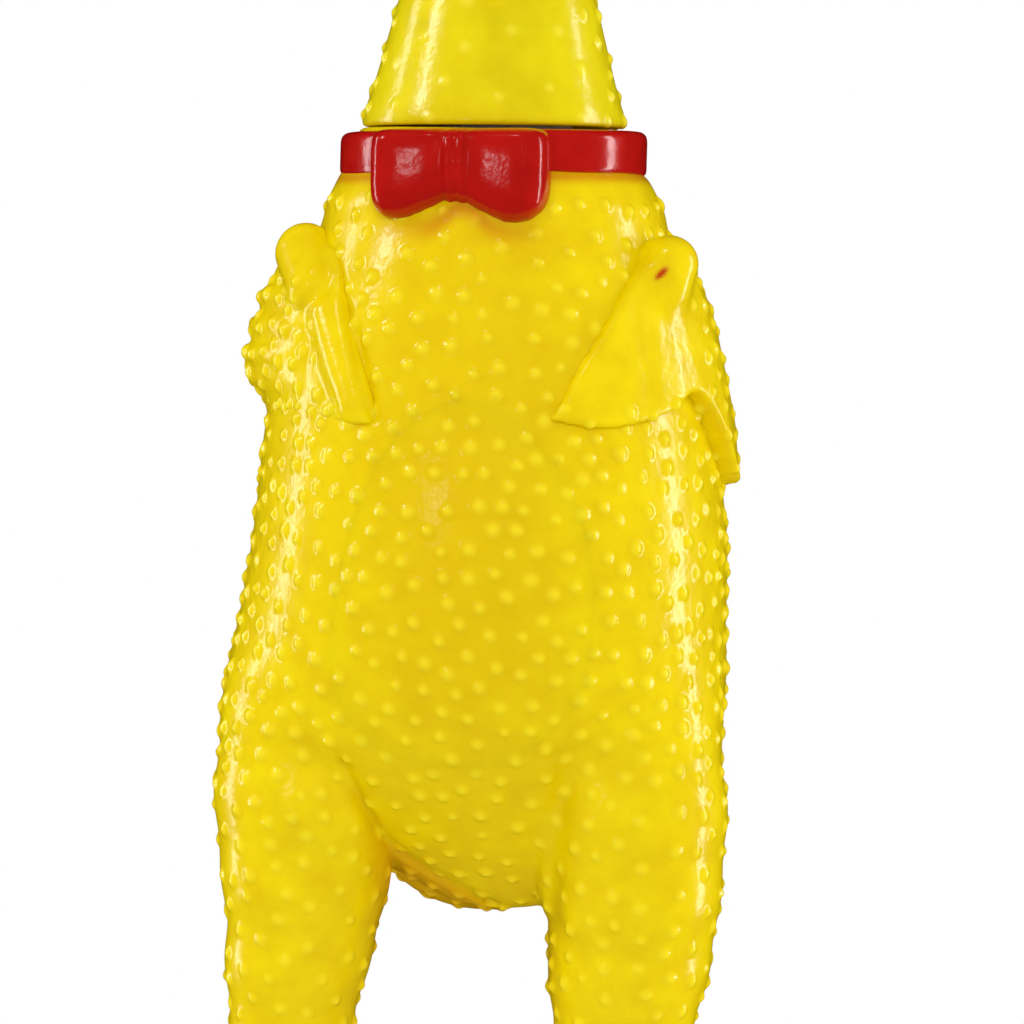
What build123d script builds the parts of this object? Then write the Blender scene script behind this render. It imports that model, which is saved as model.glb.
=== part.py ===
from build123d import *
import math
import os

# A squeaking rubber chicken of moulded soft vinyl, upright, facing -Y, chicken's left at +X.
# The origin is on the ground, midway between the soles of the feet. Sizes are in millimetres.
#
# The torso, wings and legs are one hollow moulding on the real toy. The soft wall folds at the
# hips, knees, ankles and wing roots, so the moulding is divided there, at ball-shaped joints.
# The head and neck are a second moulding, which snaps onto a rigid bush in the torso's top.

# ---- Driving dimensions -------------------------------------------------------------------
WALL = 2.4              # thickness of the vinyl
GAP = 0.3               # room between pieces that move past one another
SEAT = 0.05             # room between pieces that sit together without moving
HALF_DEPTH = 38.0       # the beak's tip and the tail's tip stand this far from the middle

# Torso: height above the soles, half width, depth in front of and behind the middle plane.
TORSO_LEVELS = [
    (100.0, 26.0, 16.0, 27.0),
    (112.0, 36.0, 28.0, 30.0),
    (126.0, 39.6, 34.5, 31.0),
    (142.0, 39.6, 37.0, 31.0),
    (158.0, 38.8, 36.8, 30.5),
    (175.0, 36.8, 34.5, 29.5),
    (188.0, 33.5, 31.5, 28.0),
    (198.0, 29.5, 28.0, 26.5),
    (205.0, 26.5, 26.0, 25.5),
    (211.0, 25.0, 25.0, 25.0),
]
SHOULDER_Z = TORSO_LEVELS[-1][0]
WALL_POINTS = 16        # points round each level of the torso

# Rump: half width, and its outline seen from the side as (depth, height), belly to tail to back.
KEEL_HALF_WIDTH = 8.8
KEEL_TOP = 128.0
KEEL_UNDERSIDE = [(-28, KEEL_TOP), (-20, 106), (-4, 95), (12, 91.5), (HALF_DEPTH - 4, 94)]
TAIL = [KEEL_UNDERSIDE[-1], (HALF_DEPTH, 99), (32, 108)]
KEEL_POCKET = [(-15, 106), (-2, 98), (12, 94.5), (29, 97)]

# Collar, its band and the lip that the neck bush turns in.
COLLAR_TOP = 219.2
COLLAR_R = 22.5
BAND_R = 25.2
BAND_ROUNDING = 1.1
LIP_BOTTOM = 215.4
LIP_R = 13.0

# Bow tie: two pillow-shaped loops and a knot.
BOW_Z = 210.4
BOW_FRONT = -26.2
BOW_TURN = -6.0         # degrees round the collar, toward the chicken's right
LOOP_OUT = 7.6          # the loops' middles stand this far from the knot
LOOP_RADII = (7.4, 4.0, 6.6)
LOOP_SLANT = 8.0
LOOP_SWEEP = 10.0
KNOT_RADII = (3.2, 4.2, 5.4)

# Legs: centre lines of the hips, knees and ankles on the chicken's left.
HIP = (26.2, -5.0, 110.0)
KNEE = (27.3, -5.0, 56.0)
ANKLE = (27.3, -4.0, 16.0)
HIP_R = 16.4
KNEE_R = 7.6
ANKLE_R = 4.8
TOE_HEIGHT = 2.3        # the toes' middle lines stand this high, so that their undersides are flat
TOES = [(26.0, 0), (22.0, 34), (22.0, -34), (17.0, 180)]    # length, degrees from straight ahead
TOE_ROOT_R = 3.4
TOE_TIP_R = 2.6
SHANK_BORE_R = 3.4
PORT_R = 6.0            # the air passages through the hips and the neck
SWING_CLEAR_Z = HIP[2] + 6.0    # the torso ends this high round the thigh, so that it can swing

# Belly panel: the oval of wall that the hand presses in.
PANEL_Z = 150.0
PANEL_HALF_WIDTH = 15.0
PANEL_HALF_HEIGHT = 24.0

# Wings.
WING_THICK = 4.6
WING_LIFT = 0.4         # room between the wing's underside and the torso
WING_REAR_Y = 8.0       # the wing ends this far behind the middle plane
WING_TOP_Z = 203.0
WING_REAR_X = 46.0
WING_EDGE = [               # seen from the front: lobe, front edge, tip, hem
    (33, WING_TOP_Z), (27.5, 198), (22.5, 186), (16.5, 172), (19, 169.5), (30, 171),
    (WING_REAR_X, 175),
]

# Neck and head.
NECK_BOTTOM = 219.5
NECK_LIP_TOP = 222.1
NECK_R_BOTTOM = 21.8
NECK_R_TOP = 17.4
NECK_BEND = (0.0, 0.0, 243.0)
NECK_BALL_R = 13.5
NECK_RIM_Z = NECK_BEND[2] - 6.0
HEAD = (0.0, -2.0, 272.0)
HEAD_RADII = (15.0, 17.0, 16.0)
STEM_TOP = 264.0        # the neck's stem ends inside the head
STEM_R_BOTTOM = 13.3
STEM_R_TOP = 12.6
MOUTH_Z = 272.0
MOUTH_R = 4.5
MOUTH_FRONT = -20.0
MOUTH_BACK = -11.0
JAW = (0.0, -14.5, 261.5)
JAW_R = 4.0
JAW_HALF_WIDTH = 6.4
LIP_THICK = 2.0         # the wall round the mouth

# Comb: (depth, height, radius) of its lobes, on an upright blade.
COMB_LOBES = [(-11.0, 288.0, 5.5), (-3.5, 296.5, 7.5), (6.0, 295.5, 7.0), (13.5, 287.5, 6.0)]
COMB_ROOT = (1.0, 284.0, 11.0)
COMB_THICK = 5.0

# Neck bush and whistle.
BUSH_R = LIP_R - SEAT
BUSH_BORE_R = 9.05
BUSH_FLANGE_R = 16.0
FLANGE_THICK = 2.2
BUSH_BOTTOM = LIP_BOTTOM - 0.2 - FLANGE_THICK
BUSH_TOP = NECK_LIP_TOP + 0.1 + FLANGE_THICK
WHISTLE_R = 9.0
WHISTLE_BORE_R = 7.6
WHISTLE_BOTTOM = 206.0
WHISTLE_TOP = 228.0
STOP_R = 11.0
STOP_THICK = 1.6
REED_ROOT_Z = 211.2
REED_TOP_Z = 225.0
REED_HALF_WIDTH = 3.5
REED_THICK = 0.3
REED_Y = -0.2           # the reed's middle plane
SEAT_THICK = 3.0
TROUGH_R = 5.0
TROUGH_BORE_R = 3.2
WEDGE_TOP_Z = 214.0
WEDGE_BACK_Y = -4.5
WEDGE_LEAN = 0.3
CAP_THICK = 1.6
CAP_HOLES = 6
CAP_HOLE_R = 1.1
CAP_HOLE_CIRCLE_R = 4.0


# ---- Shapes used more than once -----------------------------------------------------------
def ellipsoid(center, radii):
    """An ellipsoid at center with the three radii."""
    return Pos(*center) * scale(Sphere(1), by=tuple(radii))


def ball(center, radius):
    return Pos(*center) * Sphere(radius)


def upright(radius, bottom, top, x=0.0, y=0.0):
    """A vertical cylinder between two heights."""
    return Pos(x, y, (bottom + top) / 2) * Cylinder(radius, top - bottom)


def block(low, high):
    """A box between two corners."""
    size = [b - a for a, b in zip(low, high)]
    middle = [(a + b) / 2 for a, b in zip(low, high)]
    return Pos(*middle) * Box(*size)


def turned(outline, center=(0.0, 0.0)):
    """A solid of revolution about a vertical line, from (radius, height) points."""
    profile = make_face(Polyline(*[(r, 0, z) for r, z in outline], close=True))
    return Pos(center[0], center[1], 0) * revolve(profile, Axis.Z)


# ---- Torso ----------------------------------------------------------------------------------
def egg_wire(z, half_width, front, back, grow):
    """A closed level section: one half ellipse in front of the middle plane, one behind."""
    points = []
    for step in range(WALL_POINTS):
        angle = 2 * math.pi * step / WALL_POINTS
        depth = front if math.sin(angle) > 0 else back
        points.append((
            (half_width + grow) * math.cos(angle),
            -(depth + grow) * math.sin(angle),
            z,
        ))
    return Wire(Spline(*points, periodic=True))


def torso_hull(grow=0.0, top=SHOULDER_Z):
    """The torso's outline without its rump, grown or shrunk all round."""
    wires = [egg_wire(z, a, f, b, grow) for z, a, f, b in TORSO_LEVELS if z < SHOULDER_Z]
    wires.append(egg_wire(top, *TORSO_LEVELS[-1][1:], grow))
    return Solid.make_loft(wires)


def keel():
    """The rump that hangs between the thighs, with the tail behind it."""
    underside = Spline(*KEEL_UNDERSIDE, tangents=[(1, -4), (1, 0.3)])
    tail = Spline(*TAIL, tangents=[(1, 0.3), (-1, 2)])
    back_top = (29, KEEL_TOP)
    back = Line(TAIL[-1], back_top)
    top = Line(back_top, KEEL_UNDERSIDE[0])
    side = make_face(Wire([underside, tail, back, top]))
    solid = extrude(Plane.YZ * side, KEEL_HALF_WIDTH, both=True)
    return fillet(solid.edges().filter_by(GeomType.BSPLINE), 3.0)


def keel_hollow():
    """The pocket inside the rump, open to the torso's cavity."""
    top = SWING_CLEAR_Z + WALL + 1
    side = make_face(Polyline((-21, top), *KEEL_POCKET, (26, top), close=True))
    return extrude(Plane.YZ * side, KEEL_HALF_WIDTH - WALL, both=True)


def swing_room(grow=0.0):
    """What the thighs need: everything below the torso's edge, outside the rump."""
    reach = 60.0
    rooms = []
    for side in (-1, 1):
        near, far = sorted((side * (KEEL_HALF_WIDTH - grow), side * reach))
        rooms.append(block((near, -reach, 80), (far, reach, SWING_CLEAR_Z + grow)))
    return rooms


def panel_column(grow=0.0):
    """An oval column through the front of the torso."""
    oval = Plane.XZ.offset(10) * (
        Pos(0, PANEL_Z) * Ellipse(PANEL_HALF_WIDTH + grow, PANEL_HALF_HEIGHT + grow)
    )
    return extrude(oval, 40)


def torso_skin(hull, cavity):
    """The hollow torso: open at the collar, at the belly panel and into each thigh."""
    outer = hull.cut(*swing_room()) + keel() + upright(COLLAR_R, SHOULDER_Z - 1, COLLAR_TOP)
    below_shoulder = block((-60, -60, 80), (60, 60, SHOULDER_Z - WALL))
    skin = outer - (cavity & below_shoulder).cut(*swing_room(WALL)) - keel_hollow()
    skin -= upright(COLLAR_R - WALL, SHOULDER_Z - 6, LIP_BOTTOM)
    skin -= upright(LIP_R, SHOULDER_Z, COLLAR_TOP + 1)
    hips = [(side * HIP[0], HIP[1], HIP[2]) for side in (-1, 1)]
    for hip in hips:
        skin -= ball(hip, HIP_R + 2 * GAP)
    for hip in hips:
        skin += hip_cup(hip, hull)
    return skin - panel_column(GAP)


def hip_cup(hip, hull):
    """The wall over the ball of one thigh, with a port that joins the two cavities."""
    cup = ball(hip, HIP_R + 2 * GAP + WALL) - ball(hip, HIP_R + 2 * GAP)
    port = upright(PORT_R, HIP[2], HIP[2] + 30, hip[0], hip[1])
    return cup.cut(*swing_room(), port) & hull


# ---- Collar and bow -------------------------------------------------------------------------
def collar_band():
    """The raised red band round the torso's top."""
    band = upright(BAND_R, SHOULDER_Z + SEAT, COLLAR_TOP) - upright(COLLAR_R + SEAT, 200, 230)
    outer_edges = band.edges().filter_by(GeomType.CIRCLE).filter_by(
        lambda edge: edge.radius > BAND_R - 0.1
    )
    return fillet(outer_edges, BAND_ROUNDING)


def bow_tie(hull):
    """Two pillow-shaped loops and a knot, standing out in front of the band."""
    bow = ellipsoid((0, BOW_FRONT - 0.6, BOW_Z + 0.6), KNOT_RADII)
    for side in (-1, 1):
        loop = Rot(0, side * LOOP_SLANT, side * LOOP_SWEEP) * scale(Sphere(1), by=LOOP_RADII)
        bow += Pos(side * LOOP_OUT, BOW_FRONT, BOW_Z) * loop
    bow = Rot(0, 0, BOW_TURN) * bow
    return bow - hull - upright(BAND_R + SEAT, SHOULDER_Z - 1, COLLAR_TOP + 5)


# ---- Wings ----------------------------------------------------------------------------------
def left_wing():
    """A folded wing that lies on the torso: lobe at the shoulder, tip at the lower front."""
    edge = Spline(*WING_EDGE)
    rest = Polyline(WING_EDGE[-1], (WING_REAR_X, WING_TOP_Z), WING_EDGE[0])
    outline = make_face(Wire([*edge.edges(), *rest.edges()]))
    column = extrude(Plane.XZ.offset(-WING_REAR_Y) * outline, 60)
    over_shoulder = SHOULDER_Z + 4
    plate = torso_hull(WING_LIFT + WING_THICK, over_shoulder) - torso_hull(WING_LIFT, over_shoulder)
    return plate & column


# ---- Legs -----------------------------------------------------------------------------------
def left_thigh():
    """The drumstick: a hollow ball at the hip, tapering to a cup over the knee."""
    rim = KNEE[2] + 4.0
    outer = ball(HIP, HIP_R) + turned(
        [(0, HIP[2]), (16.2, HIP[2] - 1), (15.2, 100), (14.0, 91), (12.5, 80), (11.2, 71),
         (9.8, 62), (9.6, rim), (0, rim)],
        HIP[:2],
    )
    inner = ball(HIP, HIP_R - WALL) + turned(
        [(0, HIP[2]), (13.6, HIP[2] - 2), (12.8, 100), (11.6, 91), (10.1, 80), (8.8, 71),
         (5.0, 66), (5.0, rim - 1), (0, rim - 1)],
        HIP[:2],
    )
    port = upright(PORT_R, HIP[2], HIP[2] + 30, HIP[0], HIP[1])
    return outer - inner - port - ball(KNEE, KNEE_R + GAP)


def left_shank():
    """The bare lower leg: a ball in the knee's cup and a cup over the ankle."""
    rim = ANKLE[2] + 2.5
    column = turned(
        [(0, KNEE[2]), (7.4, KNEE[2] - 1), (6.8, 46), (6.0, 36), (5.7, 26), (5.9, rim), (0, rim)],
        KNEE[:2],
    )
    bore = upright(SHANK_BORE_R, 24, KNEE[2] + 10, KNEE[0], KNEE[1])
    return ball(KNEE, KNEE_R) + column - bore - ball(ANKLE, ANKLE_R + GAP)


def toe(length, heading):
    """One toe lying on the ground, heading measured from straight ahead."""
    start = 2.0
    end = length - TOE_TIP_R
    x = math.sin(math.radians(heading))
    y = -math.cos(math.radians(heading))
    root = (ANKLE[0] + start * x, ANKLE[1] + start * y, TOE_HEIGHT)
    bar = Solid.make_cone(TOE_ROOT_R, TOE_TIP_R, end - start, plane=Plane(root, z_dir=(x, y, 0)))
    return bar + ball((ANKLE[0] + end * x, ANKLE[1] + end * y, TOE_HEIGHT), TOE_TIP_R + 0.2)


def left_foot():
    """The foot: a ball at the ankle on a short stem, three toes ahead and one behind."""
    foot = ball(ANKLE, ANKLE_R) + turned(
        [(0, ANKLE[2]), (4.4, ANKLE[2] - 1), (4.6, 8), (5.6, 0), (0, 0)], ANKLE[:2]
    )
    for length, heading in TOES:
        foot += toe(length, heading)
    return foot - block((0, -60, -20), (60, 60, 0))


# ---- Neck and head --------------------------------------------------------------------------
def neck_skin():
    """The skirt of the head moulding: a lip round the bush below, a cup for the head above."""
    outer = turned([(0, NECK_BOTTOM), (NECK_R_BOTTOM, NECK_BOTTOM), (NECK_R_TOP, NECK_RIM_Z),
                    (0, NECK_RIM_Z)])
    inner = turned([
        (0, NECK_LIP_TOP), (NECK_R_BOTTOM - WALL - 0.4, NECK_LIP_TOP), (15.6, 229), (9, 232.5),
        (9, NECK_RIM_Z + 1), (0, NECK_RIM_Z + 1),
    ])
    return outer - inner - upright(LIP_R, 200, 225) - ball(NECK_BEND, NECK_BALL_R + GAP)


def head_outer():
    """The head with the upper neck and the ball that the neck bends on."""
    outer = ball(NECK_BEND, NECK_BALL_R) + neck_stem(0.0) + ellipsoid(HEAD, HEAD_RADII)
    return outer + throat(MOUTH_R + LIP_THICK)


def neck_stem(shrink):
    """The neck from the ball up into the head."""
    bottom = NECK_BEND[2]
    return turned([
        (0, bottom), (STEM_R_BOTTOM - shrink, bottom + 1), (STEM_R_TOP - shrink, STEM_TOP),
        (0, STEM_TOP),
    ])


def throat(radius, extra=0.0):
    """A cylinder along the mouth's axis, through the front of the head."""
    length = MOUTH_BACK - MOUTH_FRONT + extra
    return Pos(0, (MOUTH_FRONT + MOUTH_BACK) / 2, MOUTH_Z) * Rot(90, 0, 0) * Cylinder(radius, length)


def head_skin(whole_head):
    """The hollow head, open at the throat and at the bottom of the neck's ball."""
    inner_radii = [r - WALL for r in HEAD_RADII]
    hollow = ball(NECK_BEND, NECK_BALL_R - WALL) + ellipsoid(HEAD, inner_radii)
    hollow += neck_stem(WALL)
    skin = whole_head - hollow - upright(PORT_R, 225, NECK_BEND[2])
    return skin + throat(MOUTH_R + LIP_THICK) - throat(MOUTH_R, 2.0) - jaw_room()


def jaw_room():
    """The groove across the chin that the lower beak turns in."""
    return Pos(*JAW) * Rot(0, 90, 0) * Cylinder(JAW_R + GAP, 2 * (JAW_HALF_WIDTH + 0.9))


def beak(base, base_half, tip, tip_half):
    """A beak half: an oval at its base drawn out to a blunt tip."""
    middle = [(2 * b + 3 * t) / 5 for b, t in zip(base, tip)]
    middle_half = [0.35 * b + 0.45 * t + 1.2 for b, t in zip(base_half, tip_half)]
    wires = []
    for center, (wide, high) in ((base, base_half), (middle, middle_half), (tip, tip_half)):
        level = Plane(center, x_dir=(1, 0, 0), z_dir=(0, -1, 0))
        wires.append((level * Ellipse(wide, high)).wire())
    return Solid.make_loft(wires)


def upper_beak(whole_head):
    base = (0, HEAD[1] - 9, 281.5)
    tip = (0, -HALF_DEPTH, 280.5)
    return beak(base, (8.0, 4.6), tip, (1.4, 1.2)) - whole_head


def lower_beak():
    """The jaw, with a round heel that lies in the chin's groove."""
    heel = Pos(*JAW) * Rot(0, 90, 0) * Cylinder(JAW_R, 2 * JAW_HALF_WIDTH)
    blade = beak(JAW, (JAW_HALF_WIDTH, 3.4), (0, 3 - HALF_DEPTH, 251.5), (1.6, 1.0))
    return heel + blade


def tongue(jaw):
    lying = Pos(0, -24.5, 259.2) * Rot(24, 0, 0) * scale(Sphere(1), by=(3.0, 7.5, 1.6))
    return lying - jaw


def comb(whole_head, top_beak):
    """Four round lobes in one upright blade along the top of the head."""
    def disc(y, z, radius):
        return Pos(0, y, z) * Rot(0, 90, 0) * Cylinder(radius, COMB_THICK)

    blade = disc(*COMB_ROOT)
    for lobe in COMB_LOBES:
        blade += disc(*lobe)
    return blade - whole_head - top_beak


def left_wattle(jaw):
    return ellipsoid((7.2, -19.0, 255.0), (2.8, 4.2, 6.5)) - jaw


def left_eye(whole_head):
    return ellipsoid((11.6, -9.5, 278.0), (4.0, 5.2, 5.2)) - whole_head


def left_pupil(eye, whole_head):
    return ellipsoid((15.0, -11.0, 278.4), (1.7, 2.2, 2.4)) - eye - whole_head


# ---- Neck bush and whistle --------------------------------------------------------------------
def neck_bush():
    """The rigid spool that both mouldings snap onto, so that the neck can turn."""
    return turned([
        (BUSH_BORE_R, BUSH_BOTTOM), (BUSH_FLANGE_R, BUSH_BOTTOM),
        (BUSH_FLANGE_R, BUSH_BOTTOM + FLANGE_THICK), (BUSH_R, BUSH_BOTTOM + FLANGE_THICK),
        (BUSH_R, BUSH_TOP - FLANGE_THICK), (BUSH_FLANGE_R, BUSH_TOP - FLANGE_THICK),
        (BUSH_FLANGE_R, BUSH_TOP), (BUSH_BORE_R, BUSH_TOP),
    ])


def whistle_housing():
    """The tube pressed into the bush, with a stop flange under it."""
    stop_top = BUSH_BOTTOM - SEAT
    return turned([
        (WHISTLE_BORE_R, WHISTLE_BOTTOM), (WHISTLE_R, WHISTLE_BOTTOM),
        (WHISTLE_R, stop_top - STOP_THICK), (STOP_R, stop_top - STOP_THICK), (STOP_R, stop_top),
        (WHISTLE_R, stop_top), (WHISTLE_R, WHISTLE_TOP), (WHISTLE_BORE_R, WHISTLE_TOP),
    ])


def reed_seat():
    """A disc that plugs the tube, with a half-round trough standing on it under the reed."""
    disc_top = REED_ROOT_Z - SEAT
    behind_reed = block((-8, 0, disc_top - 1), (8, 8, REED_TOP_Z + 2))
    trough = upright(TROUGH_R, disc_top - 1, REED_TOP_Z + 1) & behind_reed
    trough -= upright(TROUGH_BORE_R, disc_top - 2 * SEAT_THICK, REED_TOP_Z - 1.5)
    seat = upright(WHISTLE_BORE_R - SEAT, disc_top - SEAT_THICK, disc_top) + trough
    air_hole = upright(3.0, disc_top - 2 * SEAT_THICK, disc_top + 1, 0, 1.4)
    return seat - (air_hole & block((-4, 0, 190), (4, 5, 230)))


def reed():
    """The thin strip that sounds, free above the wedge."""
    return block(
        (-REED_HALF_WIDTH, REED_Y - REED_THICK / 2, REED_ROOT_Z),
        (REED_HALF_WIDTH, REED_Y + REED_THICK / 2, REED_TOP_Z),
    )


def reed_wedge():
    """The block that holds the reed's foot, leaning away above it to let the reed bend."""
    foot_y = REED_Y - REED_THICK / 2 - SEAT
    side = make_face(Polyline(
        (foot_y, REED_ROOT_Z), (foot_y - WEDGE_LEAN, WEDGE_TOP_Z), (WEDGE_BACK_Y, WEDGE_TOP_Z),
        (WEDGE_BACK_Y, REED_ROOT_Z), close=True,
    ))
    return extrude(Plane.YZ * side, REED_HALF_WIDTH, both=True)


def whistle_cap():
    """The pierced disc over the tube's top, inside its rim."""
    cap = upright(WHISTLE_BORE_R - SEAT, WHISTLE_TOP - CAP_THICK, WHISTLE_TOP)
    hole = upright(CAP_HOLE_R, WHISTLE_TOP - 2 * CAP_THICK, WHISTLE_TOP + 1)
    cap -= hole
    for step in range(CAP_HOLES):
        cap -= Rot(0, 0, step * 360 / CAP_HOLES) * Pos(CAP_HOLE_CIRCLE_R, 0, 0) * hole
    return cap


# ---- Assembly -----------------------------------------------------------------------------------
def on_both_sides(name, piece):
    """A left-hand piece and its mirror copy, under their two names."""
    return {f"left_{name}": piece, f"right_{name}": mirror(piece, about=Plane.YZ)}


def body_parts():
    hull = torso_hull()
    cavity = torso_hull(-WALL)
    return {
        "torso_skin": torso_skin(hull, cavity),
        "belly_panel": (hull - cavity) & panel_column(),
        "collar_band": collar_band(),
        "bow_tie": bow_tie(hull),
        **on_both_sides("wing", left_wing()),
        **on_both_sides("thigh", left_thigh()),
        **on_both_sides("shank", left_shank()),
        **on_both_sides("foot", left_foot()),
    }


def whistle_parts():
    return {
        "neck_bush": neck_bush(),
        "whistle_housing": whistle_housing(),
        "reed_seat": reed_seat(),
        "reed_wedge": reed_wedge(),
        "reed": reed(),
        "whistle_cap": whistle_cap(),
    }


def head_parts():
    whole_head = head_outer()
    top_beak = upper_beak(whole_head)
    jaw = lower_beak()
    eye = left_eye(whole_head)
    return {
        "neck_skin": neck_skin(),
        "head_skin": head_skin(whole_head),
        "upper_beak": top_beak,
        "lower_beak": jaw,
        "tongue": tongue(jaw),
        "comb": comb(whole_head, top_beak),
        **on_both_sides("eye", eye),
        **on_both_sides("pupil", left_pupil(eye, whole_head)),
        **on_both_sides("wattle", left_wattle(jaw)),
    }


os.makedirs("parts", exist_ok=True)
for node, shape in {**body_parts(), **whistle_parts(), **head_parts()}.items():
    export_step(shape, f"parts/{node}.step")
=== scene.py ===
import math

import bmesh
import bpy
import numpy as np
import openvdb
from mathutils import Matrix, Vector, kdtree


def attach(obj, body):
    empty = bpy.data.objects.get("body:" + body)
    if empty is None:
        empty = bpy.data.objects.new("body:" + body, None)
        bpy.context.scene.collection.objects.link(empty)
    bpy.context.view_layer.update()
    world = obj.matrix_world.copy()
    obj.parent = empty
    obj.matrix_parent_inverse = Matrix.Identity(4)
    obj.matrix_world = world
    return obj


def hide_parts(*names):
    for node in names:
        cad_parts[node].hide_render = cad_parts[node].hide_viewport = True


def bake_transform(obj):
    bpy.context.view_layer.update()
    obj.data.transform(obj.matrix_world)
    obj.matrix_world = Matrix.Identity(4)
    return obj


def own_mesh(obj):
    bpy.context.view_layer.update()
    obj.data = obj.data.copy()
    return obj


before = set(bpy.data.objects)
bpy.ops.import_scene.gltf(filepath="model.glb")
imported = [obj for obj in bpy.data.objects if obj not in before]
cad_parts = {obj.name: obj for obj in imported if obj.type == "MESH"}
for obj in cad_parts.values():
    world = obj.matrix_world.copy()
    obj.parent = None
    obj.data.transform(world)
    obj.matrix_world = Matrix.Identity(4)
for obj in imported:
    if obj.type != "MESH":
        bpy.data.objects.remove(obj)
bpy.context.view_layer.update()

# Shapes are worked out in millimetres, in the frame's own axes, and turned into metres at the end.
MM = 0.001
SEED = 7

# ---- Driving dimensions ---------------------------------------------------------------------
BODY_GRID = 0.46        # spacing of the grid that each surface is drawn on
WING_GRID = 0.42
RELIEF_GRID = 0.36

# The torso: height, half width, depth in front and depth behind.
TORSO = [
    (92.5, 5.0, 1.5, 14.0),
    (96.5, 15.0, 8.0, 20.0),
    (102.0, 24.0, 15.5, 25.0),
    (108.0, 31.0, 21.5, 28.5),
    (116.0, 38.6, 27.5, 30.5),
    (126.0, 41.1, 32.4, 31.0),
    (142.0, 40.0, 36.2, 31.0),
    (158.0, 38.7, 36.8, 30.5),
    (175.0, 36.4, 34.6, 29.5),
    (188.0, 33.8, 31.8, 28.0),
    (198.0, 30.8, 29.4, 27.2),
    (205.0, 28.4, 27.6, 26.4),
    (208.5, 27.5, 27.1, 26.3),
    (210.5, 26.5, 26.3, 25.9),
    (212.8, 25.2, 25.1, 25.0),
    (214.6, 23.5, 23.5, 23.5),
    (221.0, 22.2, 22.2, 22.2),
]
TORSO_BOTTOM, TORSO_TOP = 92.5, 220.2
BOTTOM_TILT = 0.2       # the belly's lower end hangs lower on the chicken's left
# How far the moulding leans to the chicken's left at each height.
SWAY = [
    (0.0, 0.0), (30.0, -0.6), (60.0, -1.6), (76.0, -1.3), (90.0, -0.2), (105.0, -0.4), (125.0, -0.8),
    (140.0, 0.3), (155.0, 1.2), (172.0, 0.6), (190.0, 0.1), (205.0, 0.6), (219.6, 0.0),
]

# The rump is an ellipsoid (middle, radii) and the tail a tapering rod (ends, radii).
RUMP = ((0.0, 14.0, 107.5), (20.0, 20.0, 17.5))
TAIL = ((0.0, 24.0, 102.0), (0.0, 35.0, 99.0), 8.0, 2.8)

# The left leg: points on its middle line, with the leg's radius at each.
LEG = [
    ((24.4, -7.5, 134.0), 12.6),
    ((25.2, -8.6, 122.0), 15.0),
    ((26.0, -8.6, 110.0), 15.6),
    ((26.8, -8.0, 98.0), 13.9),
    ((27.4, -6.5, 84.0), 12.0),
    ((27.5, -5.5, 71.0), 10.1),
    ((27.4, -5.0, 57.0), 8.0),
    ((27.3, -5.0, 42.0), 6.4),
    ((27.3, -4.5, 26.0), 5.5),
    ((27.3, -4.0, 13.0), 5.3),
]
LEFT_LEG_STOUTER = 0.55     # the left leg is this much thicker than LEG, and the right leg thinner
TOES = [(26.0, 0), (22.0, 34), (22.0, -34), (17.0, 180)]   # length and heading

# The folds between belly and thigh, as (across, height) points up the front.
RIGHT_FOLD = [(4.0, 92.5), (-4.0, 97.4), (-9.5, 101.2), (-13.6, 106.0), (-18.0, 117.5)]
LEFT_FOLD = [(15.0, 92.0), (15.8, 104.5), (18.5, 120.0)]
# The crease in front of the right wing's blade.
WING_CREASE = [(-24.0, 199.0), (-21.5, 193.0), (-18.3, 186.5), (-15.6, 176.5), (-15.0, 173.8)]

# Where the skin is divided between bodies, and how far a bend would spread from each division; no bend is
# made here.
HIP_SEAM = ((11.0, 92.0), (43.0, 125.0))    # two points, across and up
HIP_FADE = 28.0                             # down the leg from the seam
KNEE_FADE = (66.0, 47.0)
ANKLE_FADE = (25.0, 10.0)
NECK_FADE = (237.0, 252.0)
BELLY_LOW = (-28.3, 116.0)                  # the plane behind the belly: depth and height
BELLY_HIGH = (-34.8, 182.0)
BELLY_HALF_WIDTH = 30.0
BELLY_BOTTOM = 100.0

# Pimples: how far apart on each area, how high they stand, and where the body has none.
BODY_PIMPLES = 4.2
BELLY_PIMPLES = 3.7
PIMPLE_HEIGHT = 0.55
BELLY_PIMPLE_HEIGHT = 0.62
BELLY_PIMPLE_RANGE = (112.0, 186.0)
PIMPLED_BODY = (50.0, 209.0)
LEFT_WING_PIMPLES = 3.8
RIGHT_WING_PIMPLES = 3.2
NECK_PIMPLES = 4.4
NECK_FRONT_PIMPLES = 7.0
NECK_FRONT_PIMPLE_HEIGHT = 0.15
PIMPLED_NECK = (221.5, 262.0)

# The collar's band.
COLLAR_R = 25.2
COLLAR_BORE_R = 21.0
COLLAR_Z = (213.0, 220.0)
COLLAR_TILT = 0.03      # the band stands a little higher on the chicken's left

# The bow: two pillow-shaped loops and a knot (middle, radii).
BOW_TURN = -6.0         # degrees round the collar, toward the chicken's right
BOW_TOP = 221.8
LOOP_MIDDLE = (7.2, -24.2)
LOOP_HALF = (7.3, 6.0)
LOOP_BOTTOM = 208.0
LOOP_SLOPE = 0.36       # how fast a loop's lower edge falls away from the knot
LEFT_LOOP_DROP = 0.5
KNOT = ((0.0, -25.6, 214.6), (3.2, 5.0, 6.9))

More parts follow.
